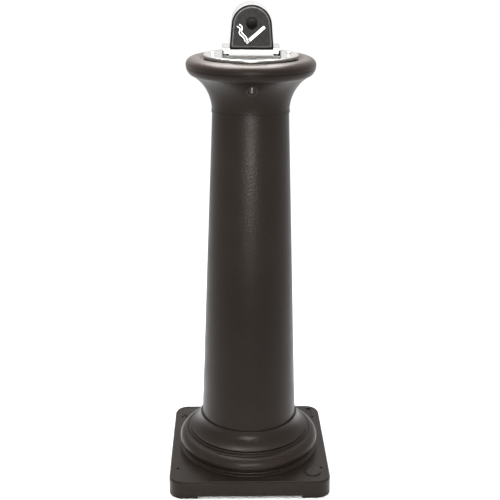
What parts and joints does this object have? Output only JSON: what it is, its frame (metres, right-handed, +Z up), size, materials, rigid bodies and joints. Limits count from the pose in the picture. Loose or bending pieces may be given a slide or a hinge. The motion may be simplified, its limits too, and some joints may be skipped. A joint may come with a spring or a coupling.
{
  "type": "ashtray bin",
  "caption": "Free-standing column ashtray bin with a square ballasted plinth, tapered shaft, bell-shaped capital, hinged locking head, stubbing plate, hooded letterbox slot and inner bucket.",
  "frame": {"origin": "on the floor, under the column's axis and the centre of the square plinth", "axes": "+Z up along the column, -Y is the front with the letterbox slot, the pictogram and the lock, +X to the right seen from the front"},
  "size_m": [0.33, 0.33, 0.9702],
  "materials": {
    "moulded_body": "fine-grained satin dark brown-black polyethylene",
    "stainless_sheet": "brushed stainless steel sheet",
    "steel_hardware": "zinc-plated or stainless steel",
    "lock_metal": "satin nickel",
    "face_plastic": "semi-gloss black moulding",
    "symbol_white": "white inlay",
    "sand_fill": "packed sand",
    "seal_rubber": "matt rubber",
    "galvanised": "galvanised steel sheet with spangle",
    "grip_plastic": "matt black tube"
  },
  "bodies": {
    "column": {"plinth": "moulded_body", "corner_feet": "moulded_body", "base_plate": "moulded_body", "base_plate_screws": "steel_hardware", "ballast": "sand_fill", "filler_plug_front": "moulded_body", "filler_plug_rear": "moulded_body", "filler_seals": "seal_rubber", "base_ring": "moulded_body", "column_collar": "moulded_body", "shaft": "moulded_body", "shaft_bolts": "steel_hardware", "shaft_nuts": "steel_hardware", "capital": "moulded_body", "neck_screws": "steel_hardware", "lock_housing": "lock_metal", "lock_nut": "lock_metal", "hinge_leaf_lower": "steel_hardware", "hinge_screws_lower": "steel_hardware", "hinge_pin": "steel_hardware"},
    "lid": {"lid_rim": "moulded_body", "snuff_plate": "stainless_sheet", "plate_screws": "steel_hardware", "letterbox": "stainless_sheet", "letterbox_rivets": "steel_hardware", "slot_deflector": "stainless_sheet", "hood": "stainless_sheet", "hood_rivets": "steel_hardware", "hood_face": "face_plastic", "face_plug": "face_plastic", "smoking_symbol": "symbol_white", "lock_keeper": "steel_hardware", "keeper_screws": "steel_hardware", "hinge_leaf_upper": "steel_hardware", "hinge_screws_upper": "steel_hardware"},
    "lock": {"lock_plug": "lock_metal", "lock_cam": "steel_hardware", "cam_screw": "steel_hardware"},
    "bucket": {"bucket": "galvanised", "bucket_ears": "galvanised", "ear_rivets": "galvanised"},
    "handle": {"bail_handle": "steel_hardware", "handle_grip": "grip_plastic"}
  },
  "joints": [
    {"name": "lid_hinge", "type": "hinge", "parent": "column", "child": "lid", "pos_m": [0, 0.1289, 0.85015], "axis": [-1, 0, 0], "range_deg": [0, 105]},
    {"name": "lock_turn", "type": "hinge", "parent": "column", "child": "lock", "pos_m": [0, -0.085, 0.8205], "axis": [0, 1, 0], "range_deg": [0, 90]},
    {"name": "bucket_lift", "type": "slide", "parent": "column", "child": "bucket", "axis": [0, 0, 1], "range_m": [0, 0.04]},
    {"name": "handle_swing", "type": "hinge", "parent": "bucket", "child": "handle", "pos_m": [0, 0, 0.804], "axis": [1, 0, 0], "range_deg": [0, 180]}
  ]
}
